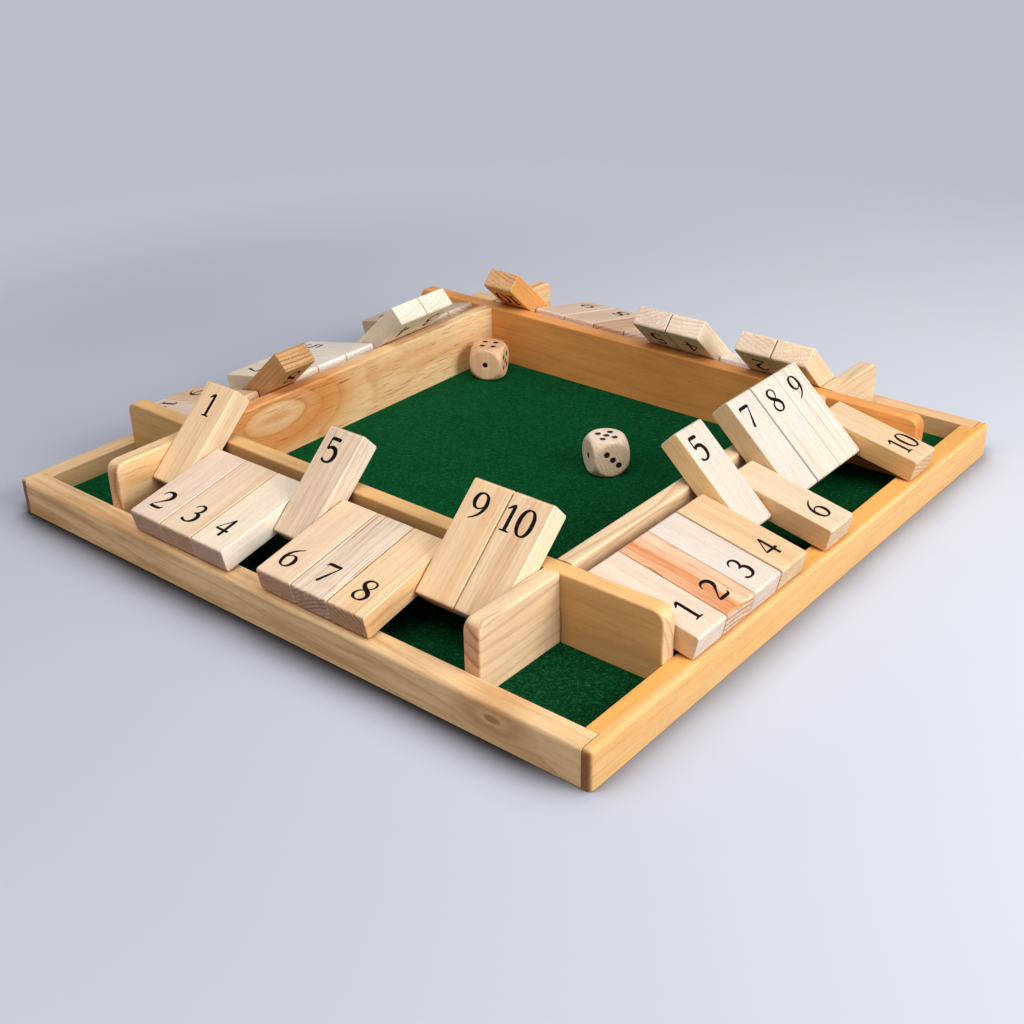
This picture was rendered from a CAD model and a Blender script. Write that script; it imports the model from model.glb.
# %% [markdown]
# # A shut the box board for four players, built in Blender
#
# The board is a square of four rails on the table. Inside it four upright walls fence a felt dice
# tray, and in the trough along each side ten numbered tiles turn on a steel rod. The solid parts
# come from a CAD model that stays where it is. Here each one gets a finer surface and a finish.
# The board's lengths are written in millimetres and scaled to metres when a mesh is made. The
# camera, the lamps and the floor are placed in metres.

# %% Load the CAD frame
import math
from types import SimpleNamespace

import bpy
import numpy as np
from mathutils import Matrix


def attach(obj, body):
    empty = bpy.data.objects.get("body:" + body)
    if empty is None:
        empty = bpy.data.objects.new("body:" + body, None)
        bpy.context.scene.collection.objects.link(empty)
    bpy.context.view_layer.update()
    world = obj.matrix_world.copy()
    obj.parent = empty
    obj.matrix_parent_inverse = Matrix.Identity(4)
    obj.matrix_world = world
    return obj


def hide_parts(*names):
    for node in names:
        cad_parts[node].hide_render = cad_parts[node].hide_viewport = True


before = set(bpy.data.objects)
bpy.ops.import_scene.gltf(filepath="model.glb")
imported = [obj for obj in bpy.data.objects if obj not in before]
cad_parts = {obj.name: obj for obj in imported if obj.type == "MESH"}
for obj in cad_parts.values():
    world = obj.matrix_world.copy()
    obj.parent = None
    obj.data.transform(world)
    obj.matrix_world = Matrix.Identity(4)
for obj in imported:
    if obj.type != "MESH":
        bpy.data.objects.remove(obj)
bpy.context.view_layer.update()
MM = 0.001

# %% [markdown]
# ## Sizes
#
# The CAD model fixes every size, so the same numbers are written here once and nothing is fitted
# by eye. The front side is drawn first: the player of that side sits at -Y. The other sides are
# the same pieces turned by quarter turns, so one function per piece is enough.

# %% Sizes of the board, in millimetres
SIDES = ("front", "right", "back", "left")
TILE_NUMBERS = range(1, 11)
TILE_W, TILE_LEN, TILE_T, TILE_ROUND = 17.1, 45.0, 9.5, 1.2
BORE_INSET, BORE_R, TILE_PITCH = 10.5, 1.55, 17.6
TILE_EASE, RAIL_EASE, WALL_EASE = 0.55, 0.15, 1.0
RAIL_W, RAIL_H, RAIL_ROUND, TONGUE_T = 9.0, 15.0, 2.0, 3.8
BASE_TOP, BASE_LAP, FELT_TOP = 5.5, 4.0, 7.0
WALL_T, WALL_H, WALL_ROUND = 7.0, 27.0, 5.0
TROUGH_W, ROD_OUT, ROD_UP = 41.0, 15.0, 20.0
TRAY = len(TILE_NUMBERS) * TILE_PITCH
INNER = TRAY + 2 * WALL_T + 2 * TROUGH_W
BOARD = INNER + 2 * RAIL_W
ROD_Y, ROD_Z = -(TRAY / 2 + WALL_T + ROD_OUT), FELT_TOP + ROD_UP
REACH = TILE_LEN - BORE_INSET
LYING, STANDING = math.radians(11.7917), math.radians(42.77997 - 180.0)
STANDING_TILES = {"front": (1, 5, 9, 10), "right": (5, 7, 8, 9), "back": (1, 2, 4, 5, 10), "left": (3, 4, 8)}
print("board", BOARD, "mm square, rod", -ROD_Y, "mm out and", ROD_Z, "mm up")

# %% [markdown]
# ## Camera
#
# A product view looks down at the near corner. The camera's place and turn are written as numbers,
# because a camera that tracks an object would hide how the view was found.

# %% Place the camera
def add(name, data):
    """A new object with this data, linked to the scene."""
    thing = bpy.data.objects.new(name, data)
    bpy.context.collection.objects.link(thing)
    return thing


def aim(thing, right, back, place):
    """Sets a camera or a lamp at place, looking along -back, with right on its right-hand side."""
    matrix = np.eye(4)
    matrix[:3, :3], matrix[:3, 3] = np.stack([right, np.cross(back, right), back], axis=1), place
    thing.matrix_world = Matrix(matrix.tolist())


def look(azimuth, elevation, roll, place, lens):
    """Camera at place. Its view runs against the unit vector (sin az cos el, -cos az cos el, sin el),
    its right-hand axis is level and then turned by roll about the view."""
    az, el, turn = map(math.radians, (azimuth, elevation, roll))
    back = np.array([math.sin(az) * math.cos(el), -math.cos(az) * math.cos(el), math.sin(el)])
    level = np.array([math.cos(az), math.sin(az), 0.0])
    camera = add("camera", bpy.data.cameras.new("camera"))
    aim(camera, math.cos(turn) * level + math.sin(turn) * np.cross(back, level), back, place)
    camera.data.lens, camera.data.sensor_width = lens, 36.0
    camera.data.clip_start, camera.data.clip_end = 0.01, 50.0
    bpy.context.scene.camera = camera
    return camera


camera = look(azimuth=39.776, elevation=28.212, roll=-0.990, place=(0.3304, -0.4018, 0.2643), lens=48.145)
bpy.context.scene.view_settings.view_transform = "Standard"
print("camera", [round(v, 4) for v in camera.matrix_world.translation], "lens", camera.data.lens)

# %% [markdown]
# ## Shader formulas
#
# A material is mostly arithmetic on a few patterns. Written node by node it would run over pages,
# so the class below lets a node's output be added and multiplied like a number. Each sign adds the
# node for it.

# %% Write shader formulas as arithmetic
class Value:
    """One output of a shader node. Arithmetic on it adds a Math node, or a Vector Math node where
    the output is a vector."""

    def __init__(self, socket):
        self.socket, self.tree = socket, socket.id_data

    def math(self, operation, *others):
        """The operation of this value and the others."""
        kind = "ShaderNodeVectorMath" if self.socket.type == "VECTOR" else "ShaderNodeMath"
        output = "Value" if operation in ("LENGTH", "DOT_PRODUCT") else 0
        return wire(self.tree, kind, dict(enumerate((self, *others))), output, operation=operation)

    def __add__(self, other):
        return self.math("ADD", other)

    def __sub__(self, other):
        return self.math("SUBTRACT", other)

    def __mul__(self, other):
        return self.math("MULTIPLY", other)

    def __truediv__(self, other):
        return self.math("DIVIDE", other)

    def axis(self, number):
        """One of the three parts of a vector."""
        return wire(self.tree, "ShaderNodeSeparateXYZ", {0: self}, number)


def feed(node, inputs):
    """Gives a node's inputs, by name or number, their values or links."""
    for key, value in inputs.items():
        if isinstance(value, Value):
            value.tree.links.new(value.socket, node.inputs[key])
        else:
            node.inputs[key].default_value = value


def wire(tree, kind, inputs, output=0, **settings):
    """Adds one node and returns one of its outputs."""
    node = tree.nodes.new(kind)
    for key, value in settings.items():
        setattr(node, key, value)
    feed(node, inputs)
    return Value(node.outputs[output])

# %% Helpers for patterns and colours
def clamp(value):
    """Keeps the result of the value's own Math node between 0 and 1."""
    value.socket.node.use_clamp = True
    return value


def largest(first, *others):
    """The largest of several values."""
    for other in others:
        first = first.math("MAXIMUM", other)
    return first


def ramp(value, low, high, to_low=0.0, to_high=1.0):
    """Smooth step: value from low to high becomes to_low to to_high with no corner at either end."""
    inputs = {"Value": value, "From Min": low, "From Max": high, "To Min": to_low, "To Max": to_high}
    return wire(value.tree, "ShaderNodeMapRange", inputs, "Result", interpolation_type="SMOOTHSTEP")


def mix(factor, a, b, blend="MIX"):
    """Colour a turning into b by factor."""
    tree = next(value.tree for value in (factor, a, b) if isinstance(value, Value))
    return wire(tree, "ShaderNodeMix", {0: factor, 6: a, 7: b}, 2, data_type="RGBA", blend_type=blend)


def tinted(colour, tint):
    """Colour times tint, channel by channel. A tint may be a grey value or brighter than white."""
    return mix(1.0, colour, tint, "MULTIPLY")


def noise(vector, seed, detail=2.0, roughness=0.5):
    """Seeded noise from 0 to 1, about 0.5 on average."""
    inputs = {"Vector": vector, "W": seed, "Scale": 1.0, "Detail": detail, "Roughness": roughness}
    return wire(vector.tree, "ShaderNodeTexNoise", inputs, noise_dimensions="4D")


def relief(height, strength, distance):
    """The normal of a surface that rises by distance, in metres, where height is 1."""
    return wire(height.tree, "ShaderNodeBump", {"Strength": strength, "Distance": distance, "Height": height})


def place_on(tree):
    """The place in the object's own coordinates, in metres."""
    return wire(tree, "ShaderNodeTexCoord", {}, "Object")


def paint(red, green, blue):
    """A colour picked as 0 to 255 screen values, as the linear values that a shader takes."""
    share = np.array([red, green, blue]) / 255.0
    linear = np.where(share <= 0.04045, share / 12.92, ((share + 0.055) / 1.055) ** 2.4)
    return (*linear.tolist(), 1.0)


def new_material(name):
    """An empty node material, its tree and its shader, joined to the output."""
    material = bpy.data.materials.new(name)
    material.use_nodes = True
    return material, material.node_tree, material.node_tree.nodes["Principled BSDF"]

# %% [markdown]
# ## Light and floor
#
# Three soft lamps light the board: a strong one from the right, a broad one from above and a weak
# one from the front. A pale world fills the shadows, so that a colour renders about as it is
# written. The floor is pale and diffuse, and it fades into the world's tone before its edge could
# show.

# %% Light the scene and lay the floor
HORIZON = paint(186, 189, 204)
FLOOR_HALF = 6.0
LAMPS = {"key_lamp": ((0.99, 0.11, 0.5), 0.6, 11.3, (1.0, 0.985, 0.96)),
         "top_lamp": ((0.15, -0.36, 1.14), 0.9, 9.4, (0.98, 0.99, 1.0)),
         "front_lamp": ((-0.3, -1.1, 0.32), 0.7, 1.5, (1.0, 0.98, 0.94))}


def soft_lamp(name, place, size, power, tint):
    """A square area lamp at place that faces the board's middle. Its right-hand axis is level."""
    lamp = bpy.data.lights.new(name, "AREA")
    lamp.shape, lamp.size, lamp.energy, lamp.color = "SQUARE", size, power, tint
    back = np.array(place) / np.linalg.norm(place)
    right = np.cross([0.0, 0.0, 1.0], back)
    aim(add(name, lamp), right / np.linalg.norm(right), back, place)


def seen_directly(tree):
    """1 for rays from the camera, from a gloss or through glass, and 0 for the light that a surface
    sends on to its neighbours."""
    path = tree.nodes.new("ShaderNodeLightPath").outputs
    return largest(*(Value(path[f"Is {kind} Ray"]) for kind in ("Camera", "Glossy", "Transmission")))


def pale_room():
    """A world in the horizon's tone that lights the board with only a weak, bluish fill."""
    world = bpy.data.worlds.new("pale_room")
    world.use_nodes = True
    tree = world.node_tree
    tree.nodes.clear()
    fill = wire(tree, "ShaderNodeBackground", {0: (0.93, 0.96, 1.0, 1.0), 1: 0.13})
    shown = wire(tree, "ShaderNodeBackground", {0: HORIZON, 1: 1.0})
    both = wire(tree, "ShaderNodeMixShader", {0: seen_directly(tree), 1: fill, 2: shown})
    feed(tree.nodes.new("ShaderNodeOutputWorld"), {0: both})
    return world


def floor_finish():
    """Pale paint that is darker to the light it passes on, with a narrow shade where the board
    stands on it. Away from the board it turns into its own glow, which ends in the horizon's tone."""
    material, tree, shader = new_material("floor_paint")
    where, seen = place_on(tree), seen_directly(tree)
    beyond, across = (where.math("DOT_PRODUCT", way) for way in ((0.5, 0.85, 0.0), (0.96, -0.28, 0.0)))
    pale = mix(ramp(beyond, -0.2, 0.28), paint(192, 195, 209), paint(214, 217, 227))
    near = wire(tree, "ShaderNodeAmbientOcclusion", {"Distance": 0.024}, "AO", samples=16)
    contact = ramp(near, 0.48, 0.98, 1.0, 0.0) * ramp(where.axis(0), 0.11, 0.16, 1.0, 0.45)
    pale = mix(contact, pale, paint(38, 30, 28))
    feed(shader, {"Base Color": mix(seen, paint(148, 148, 152), pale), "Roughness": 0.9,
                  "Specular IOR Level": 0.1})
    away = where.math("LENGTH")
    far = mix(ramp(across, -0.3, 0.4), paint(196, 198, 210), paint(222, 224, 234))
    far = mix(ramp(away, 0.38, 0.6), far, HORIZON)
    glow = wire(tree, "ShaderNodeEmission", {0: far, 1: 1.0})
    share = ramp(away, 0.26, 0.55) * seen
    both = wire(tree, "ShaderNodeMixShader", {0: share, 1: Value(shader.outputs[0]), 2: glow})
    feed(tree.nodes["Material Output"], {"Surface": both})
    return material


for name, settings in LAMPS.items():
    soft_lamp(name, *settings)
bpy.context.scene.world = pale_room()
floor = add("floor", bpy.data.meshes.new("floor"))
floor_corners = [(x * FLOOR_HALF, y * FLOOR_HALF, 0) for x, y in ((-1, -1), (1, -1), (1, 1), (-1, 1))]
floor.data.from_pydata(floor_corners, [], [(0, 1, 2, 3)])
floor.data.materials.append(floor_finish())

# %% [markdown]
# ## Surfaces from arrays
#
# Every new piece is a stack of loops: an outline carried along a line, growing or shrinking on the
# way. Box modelling with a Bevel modifier would do too, but an outline with its own rounding gives
# exact radii and keeps the rabbets and slots of the joints. The first helpers join the loops into
# faces, as whole arrays, and turn them outwards.

# %% Join loops and grids into faces
def skin(loops, closed=False):
    """Faces between neighbouring loops of a (count, points, 3) stack. An open stack gets one flat
    face at each end, and a closed stack joins its last loop to its first, as a ring does."""
    count, points = loops.shape[:2]
    index = np.arange(count * points).reshape(count, points)
    here, there = (index, np.roll(index, -1, axis=0)) if closed else (index[:-1], index[1:])
    quads = np.stack([here, np.roll(here, -1, axis=1), np.roll(there, -1, axis=1), there], axis=-1)
    faces = quads.reshape(-1, 4).tolist()
    if not closed:
        faces += [index[0, ::-1].tolist(), index[-1].tolist()]
    return loops.reshape(-1, 3), faces


def grid_quads(size, first=0):
    """The faces of a square grid of size by size points, numbered row by row from first."""
    index = first + np.arange(size * size).reshape(size, size)
    return np.stack([index[:-1, :-1], index[1:, :-1], index[1:, 1:], index[:-1, 1:]], axis=-1).reshape(-1, 4)


def volume(points, faces):
    """Signed volume: the sum over a fan of each face's triangles of (a x b) . c / 6."""
    fans = np.array([(f[0], f[i], f[i + 1]) for f in faces for i in range(1, len(f) - 1)])
    a, b, c = points[fans[:, 0]], points[fans[:, 1]], points[fans[:, 2]]
    return float(np.einsum("ij,ij->i", np.cross(a, b), c).sum() / 6.0)


def outwards(points, faces):
    """The same faces, turned over if they enclose a negative volume."""
    return [f[::-1] for f in faces] if volume(points, faces) < 0 else faces

# %% [markdown]
# Smooth shading alone would make broad flat faces look like pillows, and flat shading would show
# the facets of the roundings. So the normals are worked out here: a face counts at its corners by
# its area. What the wood's pattern has to know about each point is kept on the mesh as well.

# %% Shade a mesh and put it in its place
def read(items, key, width=1, kind=np.float64):
    """One property of all faces or corners of a mesh, as an array."""
    values = np.empty(len(items) * width, dtype=kind)
    items.foreach_get(key, values)
    return values


def shade_by_area(mesh, crease=40.0):
    """Each corner's normal is the sum of the area vectors of the faces that meet there, so broad
    flat faces stay flat and narrow eased edges turn between them. Where that sum lies further than
    crease degrees from the face's own normal, the edge is a real one and the face keeps its own."""
    mesh.polygons.foreach_set("use_smooth", np.ones(len(mesh.polygons), dtype=bool))
    sizes = read(mesh.polygons, "loop_total", 1, np.int32)
    corners = read(mesh.loops, "vertex_index", 1, np.int32)
    own = np.repeat(read(mesh.polygons, "normal", 3).reshape(-1, 3), sizes, axis=0)
    total = np.zeros((len(mesh.vertices), 3))
    np.add.at(total, corners, own * np.repeat(read(mesh.polygons, "area"), sizes)[:, None])
    total /= np.maximum(np.linalg.norm(total, axis=1, keepdims=True), 1e-12)
    shared = total[corners]
    turned = np.einsum("ij,ij->i", shared, own) < math.cos(math.radians(crease))
    mesh.normals_split_custom_set(np.where(turned[:, None], own, shared).tolist())
    return total


def put(name, points, faces, material, body, nodes=(), timber=None, grain=None,
        across=(0.0, 0.0, 0.0), extra=None):
    """Makes one piece from points in millimetres. timber is each point's place in the plank that
    it was sawn from, grain the direction of the plank's fibres on the piece and across a direction
    at right angles to them. The attributes end_grain and side_cut are how squarely the surface
    faces those two, from the point's area normal. rim is how far that normal lies from all three
    axes, so it is 1 along the middle of a rounded edge and 0 on the flats. It stays 0 on a piece
    with no direction across."""
    mesh = bpy.data.meshes.new(name)
    mesh.from_pydata((points * MM).tolist(), [], outwards(points, faces))
    mesh.validate()
    mesh.update()
    normals = shade_by_area(mesh)
    layers = {}
    if timber is not None:
        mesh.attributes.new("timber", "FLOAT_VECTOR", "POINT").data.foreach_set("vector", timber.ravel())
        square = np.abs(normals @ np.stack([grain, across, np.cross(grain, across)], axis=1))
        rim = np.clip((1.0 - square.max(axis=1)) / 0.25, 0.0, 1.0) * bool(np.any(across))
        layers = {"end_grain": square[:, 0], "side_cut": square[:, 1], "rim": rim}
    for layer, values in (layers | (extra or {})).items():
        mesh.attributes.new(layer, "FLOAT", "POINT").data.foreach_set("value", np.ascontiguousarray(values))
    mesh.materials.append(material)
    piece = add(name, mesh)
    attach(piece, body)
    if nodes:
        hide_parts(*nodes)
    return piece


def turn_side(points, k):
    """Turns points drawn at the front by k quarter turns about the board's middle."""
    cos, sin = ((1, 0), (0, 1), (-1, 0), (0, -1))[k]
    x, y, z = points.T
    return np.stack([cos * x - sin * y, sin * x + cos * y, z], axis=1)

# %% [markdown]
# Planed wood has no sharp edge. Each one is broken or rounded, some far more than others, so an
# outline below takes a radius for every corner, and a bar's ends are rounded by their loops.

# %% Draw outlines with rounded corners
def outline(corners, radii, inset, share, steps):
    """A closed outline with right-angled corners. Edge i runs from corner i to the next one, and
    moves inwards by inset times its share. Each corner is then rounded by the curve
    (1-t)^2 a + 2 t (1-t) corner + t^2 b, where a and b lie one radius along its two edges.
    Roundings of outer corners shrink with the inset and those of inner corners grow."""
    corners, radii, share = (np.asarray(values, float) for values in (corners, radii, share))
    along = np.roll(corners, -1, axis=0) - corners
    along /= np.linalg.norm(along, axis=1, keepdims=True)
    inward = np.stack([-along[:, 1], along[:, 0]], axis=1) * share[:, None]
    before, inward_before = np.roll(along, 1, axis=0), np.roll(inward, 1, axis=0)
    turn = before[:, 0] * along[:, 1] - before[:, 1] * along[:, 0]
    both = np.minimum(share, np.roll(share, 1))
    radii = np.maximum(radii - np.sign(turn) * inset * both, 0.05)
    moved = corners + inset * (inward + inward_before)
    t = np.linspace(0.0, 1.0, steps)[None, :, None]
    a, b = moved - before * radii[:, None], moved + along * radii[:, None]
    curve = (1 - t) ** 2 * a[:, None] + 2 * t * (1 - t) * moved[:, None] + t ** 2 * b[:, None]
    return curve.reshape(-1, 2)


def eased_ends(low, high, ease, steps=4):
    """Stations (place, inset) along a bar from low to high whose two ends are rounded: at the angle
    a of a quarter circle the place is ease (1 - sin a) from the end and the inset ease (1 - cos a)."""
    a = np.linspace(math.pi / 2, 0.0, steps)
    place, inset = ease * (1 - np.sin(a)), ease * (1 - np.cos(a))
    return np.concatenate([np.stack([low + place, inset], 1), np.stack([high - place, inset], 1)[::-1]])

# %% [markdown]
# ## Wood
#
# All the wood here is pale, close-grained softwood, planed and thinly sealed. What the eye reads as
# grain is a solid pattern: growth rings round the tree's middle, cut through by each sawn face. So
# the finish is worked out in three dimensions from each point's place in its plank. Faces along the
# fibres then show long lines, and sawn ends show arcs, with no picture wrapped round the piece.
# One node group holds the pattern, and each piece of wood gives it its own colours and seed. The
# first cell works out the rings and what bends them.

# %% Growth rings and knots
def grain(given, shift, along, across, detail=2.0, roughness=0.5):
    """Noise in the plank, stretched along the fibres: its features are about 1 / along mm long and
    1 / across mm wide. The shift of its seed keeps it apart from the other noises."""
    return noise(given.timber * (along, across, across), given.seed + shift, detail, roughness)


def knot_parts(given):
    """A knot is a branch that runs across the plank. With d its distance in knot sizes, where a step
    along the fibres counts for 0.42, it pushes the rings aside by swell = exp(-0.35 d^2). Its core
    is dark, and round it lies a ring in the streaks' colour, 3.4 swell (1 - swell)."""
    away = ((given.timber - given.knot_place) * (0.42, 0.0, 1.0)).math("LENGTH")
    away = away / largest(given.knot_size, 0.001)
    swell = (away * away * -0.35).math("EXPONENT")
    core = ramp(away, 0.3, 0.7, 1.0, 0.0) * given.knot_core
    halo = swell * (swell * -1.0 + 1.0) * 3.4 * given.knot_size.math("GREATER_THAN", 0.01)
    return swell, core, halo


def late_wood(given, swell, cut):
    """Distance from the tree's middle, bent by slow noise and by a knot, divided by the ring width.
    The share of a ring that has passed, to the fourth power, is its dark late wood, and the next
    ring starts with a short fade. Each ring has a strength of its own, and on sawn ends, where cut
    is 1, all of them are stronger."""
    bend = swell * given.knot_size * 0.5 + (grain(given, 0.0, 0.011, 0.05, 1.0) - 0.5) * given.bend
    ripple = (grain(given, 0.0, 0.06, 0.5, 1.0) - 0.5) * 0.35
    distance = (given.timber * (0.0, 1.0, 1.0)).math("LENGTH")
    rings = (distance + bend * given.ring + ripple) / given.ring
    passed, number = rings.math("FRACT"), rings.math("FLOOR") + given.seed
    late = largest(passed.math("POWER", 4.0), ramp(passed, 0.0, 0.14, 1.0, 0.0))
    own = wire(number.tree, "ShaderNodeTexWhiteNoise", {"W": number}, "Value", noise_dimensions="1D")
    return clamp(late * (own + 0.15) * (given.contrast * (cut * 1.2 + 1.0) + cut * 0.35))

# %% [markdown]
# Over the rings lie stains that follow the fibres, and then the fibres themselves. A planed board
# shows them as a silky scratchiness, as thin dark lines and as short flecks of resin.

# %% Streaks and fine grain
def long_streaks(given, halo):
    """Slow noise along the fibres, the stained wood beyond the heart's edge, and a knot's halo."""
    cloud = clamp(ramp(grain(given, 7.3, 0.012, 0.16, 3.0, 0.55), 0.42, 0.68) * given.streaks)
    heart = (grain(given, 5.5, 0.02, 0.2) - 0.5) * 3.0 + given.timber.axis(1) - given.heart
    return largest(cloud, ramp(heart, -0.7, 0.9) * 0.9, halo)


def fine_grain(given, core):
    """Fibres, pen-thin lines and flecks are noises stretched lengthwise, more and more finely. The
    flecks come in patches. Returns fibres and flecks, the dark that they, the lines and a knot's
    core make together, and a mottled tone close to 1."""
    fibre = grain(given, 2.1, 0.045, 1.15, 4.0, 0.64)
    line = ramp(grain(given, 3.6, 0.016, 1.5, 2.0, 0.6), 0.58, 0.72) * given.lines
    slow = grain(given, 8.8, 0.03, 0.12)
    fleck = grain(given, 4.7, 0.085, 2.8, 1.0) + ramp(slow, 0.35, 0.65, -0.12, 0.01)
    fleck = clamp(ramp(fleck, 0.6, 0.67) * given.flecks)
    dark = clamp(largest(ramp(fibre, 0.42, 0.72) * given.fibres, line) + largest(fleck, core))
    speck = ramp(grain(given, 6.4, 0.35, 1.6, 3.0, 0.75), 0.28, 0.62, 0.93, 1.03)
    return fibre, fleck, dark, ramp(slow, 0.25, 0.75, 0.96, 1.04) * speck

# %% [markdown]
# The group puts these together. Its inputs bear the names that the planks' looks use below, and a
# look only says what differs from the group's own values. timber, end_grain, side_cut and rim are
# the attributes that put() keeps on a mesh.

# %% The shared group: sawn softwood
LAYERS = {"timber": "Vector", "end_grain": "Fac", "side_cut": "Fac", "rim": "Fac"}
PLAIN_WOOD = dict(early=(204, 153, 102), late=(153, 89, 38), streak=(178, 102, 51), seed=0.0, ring=2.2,
                  contrast=0.35, bend=1.6, streaks=0.3, fibres=0.2, lines=0.15, flecks=0.0, heart=9999.0,
                  knot_place=(0.0, 0.0, 0.0), knot_size=0.0, knot_core=0.0, end=(0.82, 0.72, 0.68),
                  side=(1.0, 1.0, 1.0))
SOCKET_KINDS = {"timber": "Vector", "knot_place": "Vector"} | dict.fromkeys(
    ("early", "late", "streak", "end", "side"), "Color")


def softwood_group():
    """The whole pattern. The faces that look across the grain and the sawn ends get a shade each,
    the ends also show pores, and rounded edges are rubbed paler and smoother."""
    tree = bpy.data.node_groups.new("sawn_softwood", "ShaderNodeTree")
    for name in (*LAYERS, *PLAIN_WOOD):
        kind = "NodeSocket" + SOCKET_KINDS.get(name, "Float")
        tree.interface.new_socket(name=name, in_out="INPUT", socket_type=kind)
    for name, kind in (("Color", "Color"), ("Roughness", "Float"), ("Height", "Float")):
        tree.interface.new_socket(name=name, in_out="OUTPUT", socket_type="NodeSocket" + kind)
    sockets = tree.nodes.new("NodeGroupInput").outputs
    given = SimpleNamespace(**{socket.name: Value(socket) for socket in sockets if socket.name})
    cut = ramp(given.end_grain, 0.35, 0.95)
    swell, core, halo = knot_parts(given)
    late = late_wood(given, swell, cut)
    fibre, fleck, dark, tone = fine_grain(given, core)

    colour = mix(late, given.early, given.late)
    colour = mix(long_streaks(given, halo), colour, given.streak)
    colour = mix(dark, colour, tinted(colour, (0.52, 0.36, 0.25, 1.0)))
    colour = tinted(colour, tone)
    colour = mix(ramp(given.side_cut, 0.5, 0.95), colour, tinted(colour, given.side))
    pores = grain(given, 9.2, 0.5, 2.4, 3.0, 0.75)
    ends = tinted(tinted(colour, given.end), ramp(pores, 0.32, 0.66, 0.74, 1.1))
    colour = mix(cut, colour, ends)
    rubbed = clamp(given.rim * ramp(fibre, 0.3, 0.7, 0.25, 0.65))
    colour = mix(rubbed, colour, tinted(colour, (1.16, 1.17, 1.2, 1.0)))

    rough = clamp(fibre * 0.22 + 0.38 + cut * 0.22 - rubbed * 0.25)
    height = fibre * 0.5 - late * 0.25 - fleck * 0.5 + cut * pores * 0.8
    feed(tree.nodes.new("NodeGroupOutput"), {"Color": colour, "Roughness": rough, "Height": height})
    return tree


SOFTWOOD = softwood_group()
print("wood group:", len(SOFTWOOD.nodes), "nodes")

# %% [markdown]
# A plank's finish is a small material round the shared group: its own colours and the mesh's
# attributes go in, and what comes out goes to the shader. The sealer is thin, so the wood stays
# dull and its fibres can just be felt, as a very low bump.

# %% Give a plank its finish and its place
def wood(name, seed, **looks):
    """One plank's finish: the shared pattern with its own seed and looks. early, late and streak are
    colours from 0 to 255, and the shades end and side are factors."""
    material, tree, shader = new_material(name)
    pattern = tree.nodes.new("ShaderNodeGroup")
    pattern.node_tree = SOFTWOOD
    settings = PLAIN_WOOD | looks | {"seed": seed}
    settings |= {key: paint(*settings[key]) for key in ("early", "late", "streak")}
    settings |= {key: (*settings[key], 1.0) for key in ("end", "side")}
    feed(pattern, settings)
    for layer, output in LAYERS.items():
        feed(pattern, {layer: wire(tree, "ShaderNodeAttribute", {}, output, attribute_name=layer)})
    colour, rough, height = map(Value, pattern.outputs)
    feed(shader, {"Base Color": colour, "Roughness": rough, "Normal": relief(height, 0.6, 0.00006),
                  "Specular IOR Level": 0.3})
    return material


def plank(points, pith, lean):
    """Each point's place in a plank along x: first along the fibres, then the two ways across them,
    from the tree's middle at pith. The saw leans by lean, so that the rings run out along the face."""
    x, y, z = points.T
    return np.stack([x, y + pith[0] + lean * x, z + pith[1]], axis=1)


def put_plank(k, kind, drawn, finish, pith, lean):
    """Puts the rail or wall of side k in place. drawn is its points and faces at the front."""
    points, faces = drawn
    along, across = turn_side(np.eye(3)[:2], k)
    piece = put(f"{SIDES[k]}_{kind}", turn_side(points, k), faces, finish, "board",
                [f"{kind}_{SIDES[k]}"], plank(points, pith, lean), along, across)
    print(piece.name, len(piece.data.polygons), "faces")

# %% [markdown]
# ## Rails
#
# The rails are the board's outer frame. Their outer top edge is well rounded, because hands rub
# it, and the inner edges are only broken. At each corner the rail of the right or left side has a
# rabbet whose thin tongue covers the end of the front or back rail, so its sawn end shows as a dark
# stripe. A swept outline gives all of this. The tongue is the same sweep with its inner edge moved
# out to the tongue's thickness, so the shoulder is simply the step between two loops.

# %% Build the four rails
TONGUE_STEP = 3.0


def rail_loop(x, inset, inner):
    """One loop of the rail at x: the outer and the top edge move in by inset, and the inner face
    lies inner from the outer one. The rabbet for the base runs along the inner bottom edge."""
    rabbet = min(RAIL_W - BASE_LAP, inner)
    step = BASE_TOP if inner == RAIL_W else TONGUE_STEP
    corners = [(0, 0), (rabbet, 0), (rabbet, step), (inner, BASE_TOP), (inner, RAIL_H), (0, RAIL_H)]
    y, z = outline(corners, (0.5, 0.1, 0.1, 0.1, 0.5, RAIL_ROUND), inset, (0, 0, 0, 0, 1, 1), steps=6).T
    return np.stack([np.full_like(y, x), y - BOARD / 2, z], axis=1)


def rail(k):
    """Front and back rails are one outline between two eased ends. Right and left rails start and
    end with the tongue, whose outer end is rounded with the rail's own radius."""
    if k % 2 == 0:
        half = BOARD / 2 - TONGUE_T
        ends = eased_ends(-half, half, RAIL_EASE, 3)
        return skin(np.array([rail_loop(x, inset, RAIL_W) for x, inset in ends]))
    ends = eased_ends(-BOARD / 2, BOARD / 2, RAIL_ROUND, 7)
    middle, shoulder = len(ends) // 2, BOARD / 2 - RAIL_W
    tongues = [rail_loop(x, inset, TONGUE_T) for x, inset in ends]
    body = [rail_loop(x, 0.0, inner) for x, inner in ((-shoulder, TONGUE_T), (-shoulder, RAIL_W),
                                                      (shoulder, RAIL_W), (shoulder, TONGUE_T))]
    return skin(np.array(tongues[:middle] + body + tongues[middle:]))


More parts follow.
